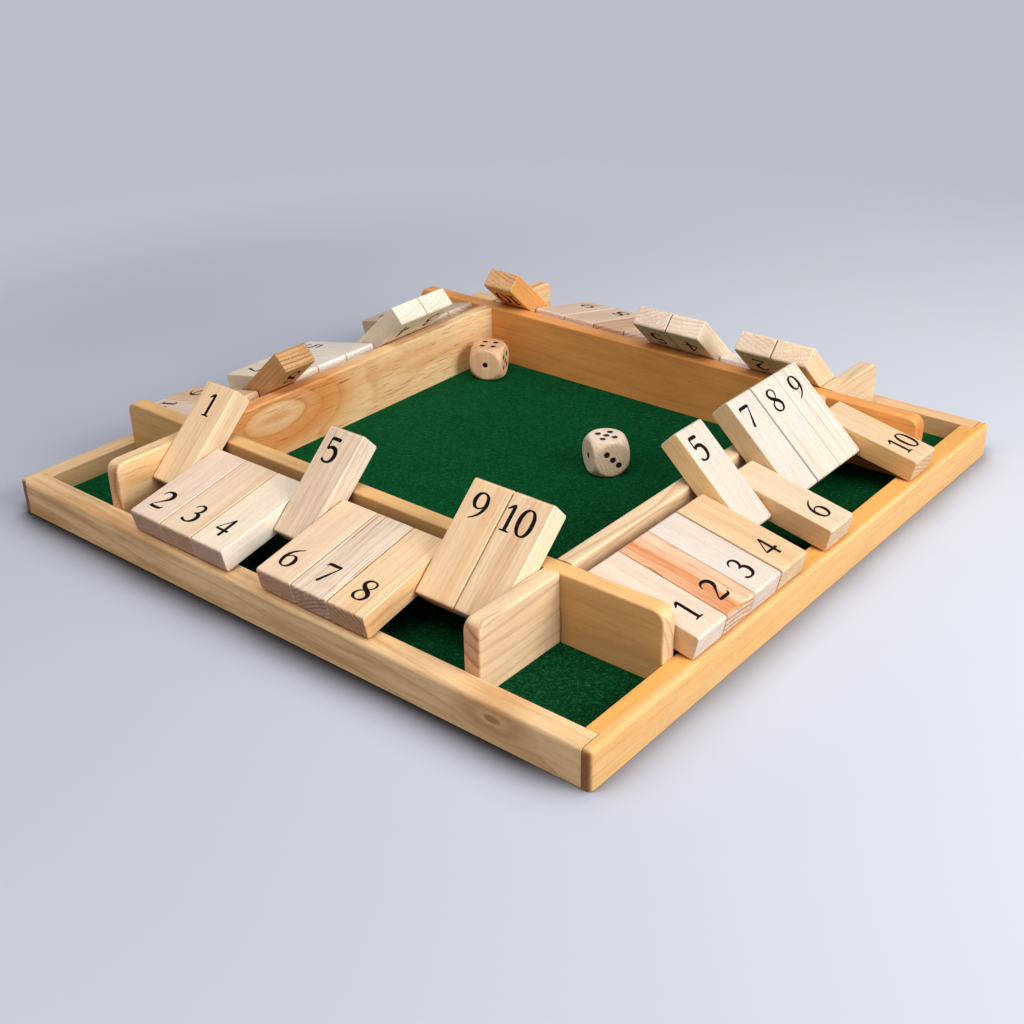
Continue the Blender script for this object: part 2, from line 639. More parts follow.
RAIL_END_SHADE = (0.37, 0.26, 0.26)
RAIL_LOOKS = {
    "front": dict(early=(244, 205, 154), late=(204, 148, 94), streak=(204, 148, 94), ring=4.6,
                  contrast=0.65, bend=2.0, streaks=0.85, lines=0.4, knot_place=(107.0, 30.0, 21.7),
                  knot_size=2.7, knot_core=0.9),
    "right": dict(early=(234, 188, 127), late=(236, 172, 98), streak=(239, 173, 89), ring=2.6, contrast=0.5,
                  streaks=0.3, lines=0.5, heart=41.0),
    "back": dict(early=(238, 196, 146), late=(214, 158, 100), streak=(226, 172, 112), ring=3.0,
                 contrast=0.4, streaks=0.4),
    "left": dict(early=(236, 198, 150), late=(208, 154, 98), streak=(216, 162, 108), ring=3.0,
                 contrast=0.45, streaks=0.5)}
# The tree's middle lies elsewhere for each rail, so that no two of them match.
for k, side in enumerate(SIDES):
    finish = wood(f"rail_wood_{side}", 11.0 + 3 * k, end=RAIL_END_SHADE, **RAIL_LOOKS[side])
    slot, lean = ("rail_pine_golden", 0.012) if k % 2 else ("rail_pine", 0.06)
    put_plank(k, "rail", rail(k), finish, (30.0 + 9 * k + BOARD / 2, 12.0 - 5 * k), lean)

# %% [markdown]
# ## Tray walls
#
# Two walls are slotted from below and two from above, and they cross in half laps at the tray's
# corners. Their long ends run on to the rails and divide the troughs from the corner squares. A
# wall is a flat outline with its slots, carried through its thickness. The long edges are broken by
# a small rounding, and the slots are left square, because they are hidden in the joint. The front
# and back walls' slots are sawn a little too wide on the corner side, which shows as a dark seam.

# %% Build the four walls
SLOT_PLAY, SLOT_SEAM, SLOT_ROUND = 0.1, 0.55, 0.1


def wall(k):
    """The outline in (x, z) is listed anticlockwise, with a slot at each crossing, and carried along
    y with eased faces."""
    half, depth, centre = INNER / 2, WALL_H / 2, (TRAY + WALL_T) / 2
    a, b = centre - WALL_T / 2 - SLOT_PLAY, centre + WALL_T / 2 + SLOT_PLAY
    if k % 2 == 0:
        b += SLOT_SEAM
        corners = [(-half, 0), (-b, 0), (-b, depth), (-a, depth), (-a, 0), (a, 0), (a, depth), (b, depth),
                   (b, 0), (half, 0), (half, WALL_H), (-half, WALL_H)]
        radii = (SLOT_ROUND,) * 10 + (WALL_ROUND,) * 2
        share = (0,) * 9 + (1, 1, 1)
    else:
        corners = [(-half, 0), (half, 0), (half, WALL_H), (b, WALL_H), (b, depth), (a, depth), (a, WALL_H),
                   (-a, WALL_H), (-a, depth), (-b, depth), (-b, WALL_H), (-half, WALL_H)]
        radii = (SLOT_ROUND,) * 2 + (WALL_ROUND,) + (SLOT_ROUND,) * 8 + (WALL_ROUND,)
        share = (0, 1, 1, 0, 0, 0, 1, 0, 0, 0, 1, 1)
    loops = []
    for y, inset in eased_ends(-TRAY / 2 - WALL_T, -TRAY / 2, WALL_EASE):
        x, z = outline(corners, radii, inset, share, steps=9).T
        loops.append(np.stack([x, np.full_like(x, y), z + FELT_TOP], axis=1))
    return skin(np.array(loops))


WALL_LOOKS = {
    "front": dict(early=(236, 188, 124), late=(210, 152, 88), streak=(222, 168, 104), ring=3.5,
                  contrast=0.35, streaks=0.4, end=(0.98, 1.2, 1.8), side=(0.86, 0.84, 0.84)),
    "right": dict(early=(240, 209, 169), late=(184, 138, 98), streak=(228, 186, 138), ring=4.6,
                  contrast=0.55, bend=3.6, streaks=0.35, end=(0.9, 0.7, 0.62)),
    "back": dict(early=(241, 168, 94), late=(204, 132, 68), streak=(222, 144, 74), ring=5.0,
                 contrast=0.45, streaks=0.5, lines=0.3),
    "left": dict(early=(247, 214, 164), late=(200, 124, 56), streak=(220, 136, 58), ring=7.0,
                 contrast=0.9, bend=2.0, streaks=0.45, flecks=1.0, lines=0.4,
                 knot_place=(54.0, 110.0, -2.0), knot_size=8.4)}
for k, side in enumerate(SIDES):
    finish = wood(f"wall_wood_{side}", 31.0 + 5 * k, **WALL_LOOKS[side])
    pith = (22.0 + 6 * k + TRAY / 2, -62.0 if side == "right" else -16.0 - 4 * k)
    put_plank(k, "wall", wall(k), finish, pith, lean=0.02)

# %% [markdown]
# ## Tiles
#
# A tile is a small planed block with a bore near one end for the rod. Its ends are rounded and all
# its long edges are broken. The surface is a ring, like a very square doughnut: loops run out over
# one side, across the top and bottom together, in over the other side and back through the bore. So
# a single closed grid of quads makes the whole tile with its hole, and nothing has to be cut.

# %% Shape a tile and say where it goes
RAY_ANGLES = np.radians(np.arange(38.0, 161.0, 11.0))
SLID_APART = {("right", 3): -0.2, ("right", 4): 0.2, ("right", 7): -0.2, ("right", 8): 0.2}


def tile_profile(inset, steps=5):
    """Side view of the tile in (y, z) with the bore at the origin and the free end at -y. Points on
    the flats lie where rays at even angles from the bore meet them, so they face the bore's own."""
    low, high, half, r = -REACH + inset, BORE_INSET - inset, TILE_T / 2 - inset, TILE_ROUND - inset
    quarter = np.linspace(0.0, math.pi / 2, steps)
    arc = np.stack([np.sin(quarter), np.cos(quarter)], axis=1) * r
    rays = half / np.tan(RAY_ANGLES)
    rays = rays[(rays > low + r + 0.5) & (rays < high - r - 0.5)]
    top = np.stack([rays, np.full_like(rays, half)], axis=1)
    right = np.array([high - r, half - r]) + arc
    left = (np.array([low + r, half - r]) + arc * [-1, 1])[::-1]
    upper = np.concatenate([[[high, 0.0]], right[::-1], top, left[::-1], [[low, 0.0]]])
    return np.concatenate([upper, (upper * [1, -1])[-2:0:-1]])


def tile():
    """The closed ring of loops. On the sides the profile shrinks by the easing of the edges."""
    full = tile_profile(0.0)
    bore = full / np.linalg.norm(full, axis=1, keepdims=True) * BORE_R
    rings = [(x, tile_profile(inset)) for x, inset in eased_ends(-TILE_W / 2, TILE_W / 2, TILE_EASE)]
    rings += [(TILE_W / 2, bore), (-TILE_W / 2, bore)]
    loops = [np.stack([np.full(len(bore), x), *ring.T], axis=1) for x, ring in rings]
    return skin(np.array(loops), closed=True)


def tile_pose(points, k, n):
    """Puts points of a tile drawn about its bore where tile n of side k lies or stands. Some tiles
    of the right side have slid a little apart along their rod."""
    side = SIDES[k]
    angle = STANDING if n in STANDING_TILES[side] else LYING
    x, y, z = points.T
    x = x + SLID_APART.get((side, n), 0.0)
    cos, sin = math.cos(angle), math.sin(angle)
    placed = np.stack([x + (n - 0.5) * TILE_PITCH - TRAY / 2, y * cos - z * sin + ROD_Y,
                       y * sin + z * cos + ROD_Z], axis=1)
    return turn_side(placed, k)


def stick(early, late, contrast, streaks, saw=0.0, deeper=0.0, **more):
    """The look of the stick that a tile was sawn from, with streaks between its two colours, nearer
    to the late wood. saw turns the cut and deeper moves it away from the tree's middle."""
    streak = tuple(0.45 * e + 0.55 * l for e, l in zip(early, late))
    looks = dict(early=early, late=late, contrast=contrast, streaks=streaks, streak=streak, ring=1.9)
    return looks | more, saw, deeper

# %% [markdown]
# Each tile was sawn from a different stick, so the row is a patchwork: pinkish, cream and orange
# blocks, some plain and some striped. The looks below are given to the tiles by hand, and the rest
# take one of four plain pairs of colours.

# %% Looks of the tiles
LIT = (1.03, 1.14, 1.28)
TILE_LOOKS = {
    "front": {
        1: stick((250, 214, 170), (214, 158, 104), 0.3, 0.6, lines=0.3, side=LIT),
        2: stick((241, 214, 192), (216, 176, 148), 0.2, 0.3, lines=0.1),
        3: stick((243, 216, 186), (222, 168, 118), 0.25, 0.6),
        4: stick((247, 228, 204), (236, 202, 160), 0.15, 0.3, lines=0.1, side=LIT),
        5: stick((242, 214, 186), (198, 154, 118), 0.3, 0.3, fibres=0.4, lines=0.8, side=LIT),
        6: stick((244, 212, 180), (226, 168, 116), 0.25, 0.6),
        7: stick((248, 226, 204), (186, 144, 108), 0.4, 0.3, ring=1.6, fibres=0.5, lines=1.0, flecks=0.6),
        8: stick((248, 212, 168), (96, 58, 36), 0.26, 0.8, ring=2.3, saw=0.65, lines=0.5,
                 streak=(226, 160, 98), side=(0.97, 0.93, 0.84), end=(0.64, 0.54, 0.5)),
        9: stick((250, 216, 174), (228, 160, 90), 0.2, 0.5),
        10: stick((250, 218, 180), (216, 150, 96), 0.35, 0.9, fibres=0.35, side=LIT)},
    "right": {
        1: stick((230, 208, 188), (206, 166, 134), 0.2, 0.35, side=(1.02, 0.86, 0.62), end=(1.1, 1.2, 1.36)),
        2: stick((243, 205, 172), (212, 132, 76), 0.95, 0.45, streak=(220, 140, 82), ring=2.19, bend=0.5,
                 deeper=0.8, fibres=0.45, lines=0.8, flecks=0.8, end=(0.98, 1.24, 1.55)),
        3: stick((226, 211, 198), (206, 178, 156), 0.2, 0.4, end=(1.06, 1.03, 1.03)),
        4: stick((230, 197, 156), (206, 148, 94), 0.35, 0.6, end=(1.05, 1.15, 1.3)),
        5: stick((214, 204, 190), (206, 180, 146), 0.15, 0.2, side=(1.45, 1.15, 0.7)),
        6: stick((227, 204, 172), (206, 158, 108), 0.2, 0.3, side=(1.1, 0.86, 0.6), lines=0.3),
        7: stick((214, 206, 195), (204, 180, 152), 0.12, 0.2, side=(1.2, 0.95, 0.62)),
        8: stick((216, 211, 200), (208, 172, 122), 0.4, 0.4),
        9: stick((218, 212, 200), (196, 156, 108), 0.45, 0.3),
        10: stick((228, 199, 162), (206, 148, 96), 0.3, 0.4, side=(1.1, 0.9, 0.62))},
    "back": {
        1: stick((240, 212, 174), (212, 164, 118), 0.3, 0.3),
        2: stick((232, 206, 172), (206, 160, 116), 0.3, 0.3),
        4: stick((240, 220, 190), (216, 172, 126), 0.25, 0.3),
        5: stick((230, 206, 180), (206, 160, 122), 0.3, 0.3),
        6: stick((226, 194, 164), (190, 132, 94), 0.4, 0.5),
        7: stick((216, 172, 136), (180, 112, 70), 0.4, 0.6),
        8: stick((228, 198, 170), (200, 150, 112), 0.3, 0.4),
        9: stick((230, 202, 178), (206, 160, 126), 0.3, 0.4),
        10: stick((240, 172, 98), (198, 120, 54), 0.5, 0.5, end=(1.0, 1.22, 2.1))},
    "left": {
        1: stick((216, 188, 162), (180, 140, 108), 0.3, 0.3),
        2: stick((210, 182, 154), (176, 136, 104), 0.3, 0.4),
        3: stick((248, 234, 210), (226, 190, 146), 0.3, 0.2),
        4: stick((246, 232, 208), (224, 188, 144), 0.3, 0.2),
        8: stick((212, 162, 106), (146, 92, 48), 0.6, 0.6, lines=0.4)}}
END_SHADES = {"front": (0.64, 0.52, 0.5), "right": (1.0, 0.98, 0.98), "back": (1.2, 1.22, 1.34),
              "left": (1.03, 1.1, 1.2)}
PLAIN_PAIRS = (((240, 213, 192), (222, 182, 154)), ((247, 224, 196), (232, 196, 158)),
               ((244, 230, 214), (236, 208, 184)), ((232, 190, 148), (206, 152, 104)))
PLAIN_SHARES = (0.4, 0.3, 0.2, 0.1)

# %% [markdown]
# Where a tile was sawn from its stick is drawn by lot: the saw's angle, the distance from the
# tree's middle and the place along the stick. The seed is fixed and the draws keep their order, so
# each run gives the same board.

# %% Saw and place the forty tiles
SAW_SPANS, TILE_LEAN = ((-0.5, 0.5), (25.0, 70.0), (0.0, 900.0)), 0.03
chance = np.random.default_rng(7)
tile_points, tile_faces = tile()
for k, side in enumerate(SIDES):
    for n in TILE_NUMBERS:
        angle, distance, slide = (chance.uniform(*span) for span in SAW_SPANS)
        plain = stick(*PLAIN_PAIRS[chance.choice(len(PLAIN_PAIRS), p=PLAIN_SHARES)], 0.25, 0.35)
        looks, saw, deeper = TILE_LOOKS[side].get(n, plain)
        looks = {"end": END_SHADES[side]} | looks
        finish = wood(f"tile_wood_{side}_{n}", 100.0 + 13 * k + 1.7 * n, **looks)
        angle, distance = angle + saw, distance + deeper
        cos, sin = math.cos(angle), math.sin(angle)
        x, y, z = tile_points.T
        timber = np.stack([y + slide, x * cos - z * sin + TILE_LEAN * y,
                           x * sin + z * cos + distance], axis=1)
        middle, along, across = tile_pose(np.array([[0.0, 0, 0], [0.0, 1, 0], [1.0, 0, 0]]), k, n)
        put(f"{side}_tile_{n}", tile_pose(tile_points, k, n), tile_faces, finish, f"tile_{side}_{n}_body",
            [f"tile_{side}_{n}"], timber, along - middle, across - middle)
tile_volume = abs(volume(tile_points, tile_faces))
print("tiles: 40, each", len(tile_faces), "faces and", round(tile_volume), "cubic mm")

# %% [markdown]
# ## Numbers
#
# The numbers are printed in black on both faces of a tile, because either face can end up on top.
# They follow the plain old-style figures of a broad pen: thick where the pen comes down, thin
# where it runs across. A font would be quicker, but then the letters would be someone else's
# drawing. So each figure is a few pen strokes: points along the middle of the stroke with the
# pen's width at each.

# %% The figures as pen strokes: x, y and the pen's width
FIGURES = {
    "0": [[(0.0, 9.85, 0.5), (-1.5, 9.2, 0.85), (-2.5, 7.2, 1.15), (-2.7, 5.0, 1.2), (-2.45, 2.7, 1.1),
          (-1.4, 0.8, 0.8), (0.0, 0.22, 0.5), (1.5, 0.85, 0.85), (2.5, 2.8, 1.15), (2.7, 5.0, 1.2),
          (2.5, 7.3, 1.1), (1.5, 9.2, 0.8), (0.0, 9.85, 0.5)]],
    "1": [[(0.45, 10.0, 0.45), (0.35, 9.0, 0.95), (0.3, 5.0, 1.05), (0.3, 1.2, 1.05), (0.3, 0.3, 1.2)],
          [(0.5, 9.8, 0.5), (-0.5, 9.15, 0.75), (-1.3, 8.5, 0.6), (-2.2, 7.95, 0.3)], [(-1.75, 0.15, 0.3),
          (-0.7, 0.25, 0.5), (0.3, 0.4, 0.7), (1.3, 0.25, 0.5), (2.3, 0.15, 0.3)]],
    "2": [[(-2.75, 7.3, 0.35), (-2.35, 8.5, 0.5), (-1.2, 9.5, 0.75), (0.4, 9.6, 1.0), (1.85, 8.9, 1.3),
          (2.4, 7.4, 1.35), (1.85, 5.9, 1.1), (0.6, 4.5, 0.7), (-1.0, 2.8, 0.5), (-2.7, 0.9, 0.4)],
          [(-3.0, 0.3, 0.35), (-2.2, 0.45, 0.85), (0.4, 0.45, 0.95), (1.9, 0.5, 0.9), (2.75, 0.8, 0.6),
          (3.1, 1.8, 0.3)]],
    "3": [[(-2.3, 7.9, 0.4), (-1.6, 8.95, 0.5), (-0.3, 9.7, 0.6), (1.2, 9.55, 0.8), (2.1, 8.5, 1.0),
          (2.0, 7.1, 0.95), (1.1, 5.9, 0.7), (-0.4, 5.2, 0.4)], [(-0.4, 5.15, 0.4), (0.9, 5.35, 0.7),
          (2.2, 4.9, 1.1), (2.85, 3.5, 1.3), (2.45, 1.7, 1.1), (1.1, 0.5, 0.75), (-0.7, 0.2, 0.6),
          (-2.1, 0.7, 0.8), (-2.8, 1.35, 0.8)]],
    "4": [[(1.25, 10.1, 0.5), (1.15, 9.0, 0.9), (1.1, 5.0, 1.0), (1.1, 0.25, 0.95)], [(1.1, 9.9, 0.5),
          (-0.9, 6.9, 0.4), (-3.1, 3.75, 0.4)], [(-3.35, 3.5, 0.45), (-2.2, 3.5, 0.7), (1.1, 3.45, 0.8),
          (3.2, 3.35, 0.8)]],
    "5": [[(-2.45, 9.75, 0.95), (0.0, 9.75, 1.0), (2.1, 9.65, 1.0)], [(-2.3, 9.9, 0.6), (-2.35, 7.8, 0.55),
          (-2.4, 5.4, 0.6)], [(-2.35, 5.3, 0.8), (-1.3, 6.15, 0.9), (0.1, 6.3, 1.05), (1.6, 5.6, 1.2),
          (2.4, 3.8, 1.3), (2.0, 1.8, 1.15), (0.7, 0.5, 0.75), (-1.0, 0.25, 0.6), (-2.2, 0.8, 0.75),
          (-2.7, 1.5, 0.85)]],
    "6": [[(2.2, 10.1, 0.25), (0.3, 9.1, 0.5), (-1.4, 7.6, 0.75), (-2.4, 5.7, 1.0), (-2.65, 3.6, 1.15),
          (-1.9, 1.2, 0.85), (0.0, 0.25, 0.5), (1.9, 1.1, 0.9), (2.6, 3.4, 1.2), (1.75, 5.4, 0.85),
          (0.1, 6.0, 0.45), (-1.5, 5.3, 0.42), (-2.3, 4.4, 0.4)]],
    "7": [[(-2.95, 9.2, 0.9), (0.0, 9.2, 1.0), (2.85, 9.25, 0.85)], [(-2.85, 9.6, 0.5), (-2.95, 8.7, 0.5),
          (-3.0, 8.0, 0.35)], [(2.85, 9.45, 0.4), (1.4, 6.0, 0.6), (0.1, 3.1, 0.85), (-1.1, 0.3, 1.0)]],
    "8": [[(0.4, 9.8, 0.5), (-1.5, 9.4, 0.8), (-2.4, 8.0, 1.05), (-1.7, 6.5, 1.15), (0.1, 5.3, 1.2),
          (1.95, 4.1, 1.2), (2.65, 2.5, 1.1), (1.8, 0.85, 0.8), (0.0, 0.22, 0.5), (-1.9, 0.8, 0.8),
          (-2.75, 2.3, 0.85), (-2.0, 4.0, 0.6), (0.0, 5.25, 0.5), (1.6, 6.4, 0.5), (2.3, 7.9, 0.65),
          (1.8, 9.2, 0.6), (0.4, 9.8, 0.5)]]}
FIGURES["9"] = [[(-x, 10.2 - y, w) for x, y, w in FIGURES["6"][0]]]
# The strokes of a figure that end squarely, and how far the two signs of the ten are shifted.
BLUNT = {"5": (0,), "7": (0, 1, 2), "4": (0, 2)}
TEN = (("1", -3.95), ("0", 2.95))
INK_UP, INK_DOWN = 0.05, 0.03
TIP_STATIONS = np.array([0.004, 0.012, 0.025, 0.975, 0.988, 0.996])

# %% [markdown]
# A smooth curve joins the points of a stroke. The ink on it is a very thin film, closed all round,
# because a bare face lying on the wood would flicker against it. Its ends narrow as a pen's do.

# %% Turn pen strokes into films of ink
def smooth_run(points, spans=10):
    """A curve through all the points: between two of them it is the cubic
    (2t^3-3t^2+1) p + (t^3-2t^2+t) m + (3t^2-2t^3) q + (t^3-t^2) n, with each slope m or n half of
    the step from the point before to the point after."""
    points = np.asarray(points, float)
    padded = np.concatenate([2 * points[:1] - points[1:2], points, 2 * points[-1:] - points[-2:-1]])
    if np.allclose(points[0], points[-1]):
        padded[0], padded[-1] = points[-2], points[1]
    slopes = (padded[2:] - padded[:-2]) / 2
    t = np.linspace(0.0, 1.0, spans, endpoint=False)[None, :, None]
    p, q, m, n = points[:-1, None], points[1:, None], slopes[:-1, None], slopes[1:, None]
    run = (2 * t**3 - 3 * t**2 + 1) * p + (t**3 - 2 * t**2 + t) * m
    run = run + (3 * t**2 - 2 * t**3) * q + (t**3 - t**2) * n
    return np.concatenate([run.reshape(-1, 3), points[-1:]])


def pen_stroke(points, blunt=False):
    """A film of ink (x, y, height). The printed line is 0.15 wider than the table's, and its thick
    parts swell by 0.56 of what they have above 0.5. Across the stroke it is half a flat lens, and
    its width closes to a point over the last tip of its length as the square root of
    1 - (1 - s / tip)^2. The tip of a blunt stroke is a quarter of its width and otherwise a half."""
    run = smooth_run(points)
    middle, width = run[:, :2], run[:, 2] + 0.56 * np.maximum(run[:, 2] - 0.5, 0.0) + 0.15
    step = np.gradient(middle, axis=0)
    step /= np.linalg.norm(step, axis=1, keepdims=True)
    length = np.concatenate([[0.0], np.cumsum(np.linalg.norm(np.diff(middle, axis=0), axis=1))])
    if not np.allclose(points[0], points[-1]):
        places = np.unique(np.concatenate([length, length[-1] * TIP_STATIONS]))
        middle, step = (np.stack([np.interp(places, length, way) for way in ways.T], axis=1)
                        for ways in (middle, step))
        width, length = np.interp(places, length, width), places
        tip = (0.25 if blunt else 0.5) * width[[0, -1], None]
        left = np.minimum(np.stack([length, length[-1] - length]) / tip, 1.0)
        width = width * np.sqrt(np.maximum(1 - (1 - left) ** 2, 0.0)).min(axis=0) + 0.02
    side = np.stack([-step[:, 1], step[:, 0]], axis=1)
    across = np.array([-1.0, -0.8, 0.0, 0.8, 1.0, 0.8, -0.8])
    height = np.array([0.0, 0.8, 1.0, 0.8, 0.0, -1.0, -1.0])
    height = np.where(height > 0, height * INK_UP, height * INK_DOWN)
    flat = middle[:, None] + side[:, None] * (width / 2)[:, None, None] * across[None, :, None]
    rise = np.broadcast_to(height, (len(middle), len(across)))[..., None]
    return np.concatenate([flat, rise], axis=2)


def figure(text):
    """All strokes of a number as one set of points and faces, centred on x = 0 above y = 0."""
    points, faces, count = [], [], 0
    signs = TEN if text == "10" else ((text, 0.0),)
    for sign, shift in signs:
        for i, stroke in enumerate(FIGURES[sign]):
            ring = np.allclose(stroke[0], stroke[-1])
            film = pen_stroke(stroke, i in BLUNT.get(sign, ()))
            p, f = skin(film[:-1] if ring else film, closed=ring)
            points.append(p + [shift, 0.0, 0.0])
            faces += [[v + count for v in face] for face in outwards(p, f)]
            count += len(p)
    return np.concatenate(points), faces

# %% [markdown]
# Printing is never quite true, so each number sits a little to one side of its tile, by the offsets
# below. On the face that is up while the tile lies, the figure's foot is towards the free end. On
# the other face, which the player sees once the tile stands, its head is.

# %% Print the numbers on the tiles
FOOT_INSET, HEAD_INSET = 5.9, 14.5
OFFSETS = {
    "front": (-0.35, -1.05, -0.8, -1.15, -1.95, -1.1, -0.9, -0.5, -1.2, -1.6),
    "right": (0.5, -1.05, -1.5, -0.9, -2.4, -0.3, -1.9, -0.5, -1.0, 0.9),
    "back": (-0.4, -0.9, 0.3, -1.1, -0.6, 0.2, -0.8, -1.3, 0.4, -0.5),
    "left": (0.3, -0.7, -1.0, 0.1, -0.9, -0.4, 0.5, -0.8, -1.2, 0.2)}


def ink_finish():
    """Dull black, a little thinner and browner in fine patches."""
    material, tree, shader = new_material("black_ink")
    worn = noise(place_on(tree) * (900.0, 900.0, 900.0), 3.0, 3.0, 0.7)
    feed(shader, {"Base Color": mix(ramp(worn, 0.45, 0.8), paint(16, 11, 10), paint(46, 32, 26)),
                  "Roughness": ramp(worn, 0.3, 0.8, 0.6, 0.8), "Specular IOR Level": 0.06})
    return material


ink = ink_finish()
figures = {n: figure(str(n)) for n in TILE_NUMBERS}
for k, side in enumerate(SIDES):
    for n, offset in zip(TILE_NUMBERS, OFFSETS[side]):
        flat, faces = figures[n]
        x, y, rise = flat.T
        lying_face = np.stack([x + offset, -REACH + FOOT_INSET + y, TILE_T / 2 + rise], axis=1)
        other_face = np.stack([x + offset, -REACH + HEAD_INSET - y, -TILE_T / 2 - rise], axis=1)
        points = tile_pose(np.concatenate([lying_face, other_face]), k, n)
        both = faces + [[v + len(flat) for v in face] for face in faces]
        put(f"{side}_number_{n}", points, both, ink, f"tile_{side}_{n}_body")
print("figures:", {n: len(f[1]) for n, f in figures.items()}, "faces each")

# %% [markdown]
# ## Felt
#
# One sheet of dark green pressed felt is glued to the whole base, under the walls too. A sheet
# that is glued down needs no cloth simulation. It is a plate whose top is very slightly uneven and
# whose rim turns down, worked out on one grid.

# %% Shape the felt
FELT_W = INNER - 0.4
WAVES = ((7.3, 9.1), (3.1, 4.7), (1.9, 2.3))
STRANDS = ((0.7, 1.0, 4.2, 0.45), (0.1, 5.0, 2.6, 0.36), (1.4, 9.0, 2.6, 0.36), (2.4, 13.0, 2.2, 0.34))


def felt_sheet(count=180):
    """A square plate. Its top lies 0.06 mm below the felt's height, plus or minus 0.02 mm times a sum
    of sines, and its rim turns down over the last half millimetre."""
    half = FELT_W / 2
    rim_places = half - np.array([0.0, 0.15, 0.5])
    line = np.concatenate([-rim_places, np.linspace(-half + 3.0, half - 3.0, count), rim_places[::-1]])
    size = len(line)
    x, y = np.meshgrid(line, line, indexing="ij")
    waves = sum(np.sin(x / a + i) * np.sin(y / b + 2 * i) for i, (a, b) in enumerate(WAVES))
    edge = np.minimum(half - np.abs(x), half - np.abs(y))
    top = FELT_TOP - 0.06 - 0.02 * waves - 0.3 * np.maximum(1 - edge / 0.5, 0.0) ** 2
    index = np.arange(size * size).reshape(size, size)
    rim = np.concatenate([index[:-1, 0], index[-1, :-1], index[:0:-1, -1], index[0, :0:-1]])
    points = np.stack([x.ravel(), y.ravel(), top.ravel()], axis=1)
    foot = points[rim] * [1, 1, 0] + [0, 0, BASE_TOP]
    low = len(points) + np.arange(len(rim))
    walls = np.stack([rim, low, np.roll(low, -1), np.roll(rim, -1)], axis=-1)
    return np.concatenate([points, foot]), grid_quads(size).tolist() + walls.tolist() + [low[::-1].tolist()]

# %% [markdown]
# Felt has no threads: short fibres lie every way in the plane, paler where they catch the light. So
# its material draws the fibres as dashes: the high places of noises that are stretched and turned
# several ways. Felt is quite dull, so it hardly shines, and the dashes are also a bump.

# %% Colour the felt and lay it
def strands(where, turn, seed, length, width):
    """Pale dashes in the plane, turned by turn, from a noise stretched to length by width in mm."""
    inputs = {"Vector": where, "Rotation": (0, 0, turn), "Scale": (length, width, 1.0)}
    along = wire(where.tree, "ShaderNodeMapping", inputs, vector_type="TEXTURE")
    return ramp(noise(along, seed, detail=1.0), 0.53, 0.74)


def felt_finish():
    """Two greens in soft patches, darker towards the right, with dark specks and pale fibres."""
    material, tree, shader = new_material("green_felt")
    where = place_on(tree) * (1 / MM, 1 / MM, 1 / MM)
    fibres = largest(*(strands(where, *settings) for settings in STRANDS))
    patches = noise(where * (0.09, 0.09, 0.09), 2.0, 4.0, 0.6)
    fine = noise(where * (1.1, 1.1, 1.1), 4.0, 3.0, 0.7)
    colour = mix(ramp(patches, 0.3, 0.7), paint(0, 60, 26), paint(0, 67, 31))
    right = ramp(where.math("DOT_PRODUCT", (0.8, -0.6, 0.0)), 15.0, 110.0, 0.0, 0.9)
    colour = mix(right, colour, paint(0, 42, 15))
    colour = mix(ramp(fine, 0.5, 0.3, 0.0, 0.25), colour, paint(0, 42, 20))
    colour = mix(fibres * ramp(fine, 0.4, 0.7, 0.2, 1.0), colour, paint(32, 124, 78))
    feed(shader, {"Base Color": colour, "Roughness": 0.95, "Specular IOR Level": 0.05,
                  "Normal": relief(fibres * 0.6 + fine, 0.7, 0.0003)})
    return material


felt_points, felt_faces = felt_sheet()
felt = put("felt_sheet", felt_points, felt_faces, felt_finish(), "board", ["felt"])
print("felt", len(felt_faces), "faces")

# %% [markdown]
# ## Dice
#
# The dice are wooden cubes tumbled until their corners are round, with drilled and blackened pips.
# The shape is a cube met by a ball: each point of the cube's surface is pulled in to the ball where
# it lies outside. Six square grids carry it, and each pip is a shallow dish in its face.

# %% Shape a die
DIE, DIE_BALL, DIE_GAP = 16.0, 21.6, 0.1
PIP_R, PIP_DEPTH, PIP_STEP = 1.4, 0.5, 2.7
DIE_PITH, DICE_APART = (24.0, 10.0), 60.0
PIPS = {1: [(0, 0)], 2: [(-1, 1), (1, -1)], 3: [(-1, 1), (0, 0), (1, -1)],
        4: [(-1, 1), (1, -1), (-1, -1), (1, 1)], 5: [(-1, 1), (1, -1), (-1, -1), (1, 1), (0, 0)],
        6: [(-1, 1), (1, -1), (-1, -1), (1, 1), (0, -1), (0, 1)]}
# The pips of each face, and the turn that brings it to its place from the top.
DIE_FACES = ((5, "x", 0), (2, "x", 180), (3, "x", 90), (4, "x", -90), (1, "y", -90), (6, "y", 90))
# Each die's x, y, turn and tilt, and the colours of its early and late wood.
DICE = ((31.0, 19.9, 57.0, 0.0, (250, 228, 206), (226, 182, 142)),
        (-75.0, 70.0, 115.0, 90.0, (242, 200, 160), (208, 150, 106)))


def spin(axis, degrees):
    """Rotation matrix about a main axis."""
    c, s = math.cos(math.radians(degrees)), math.sin(math.radians(degrees))
    rows = {"x": [[1, 0, 0], [0, c, -s], [0, s, c]], "y": [[c, 0, s], [0, 1, 0], [-s, 0, c]],
            "z": [[c, -s, 0], [s, c, 0], [0, 0, 1]]}
    return np.array(rows[axis])


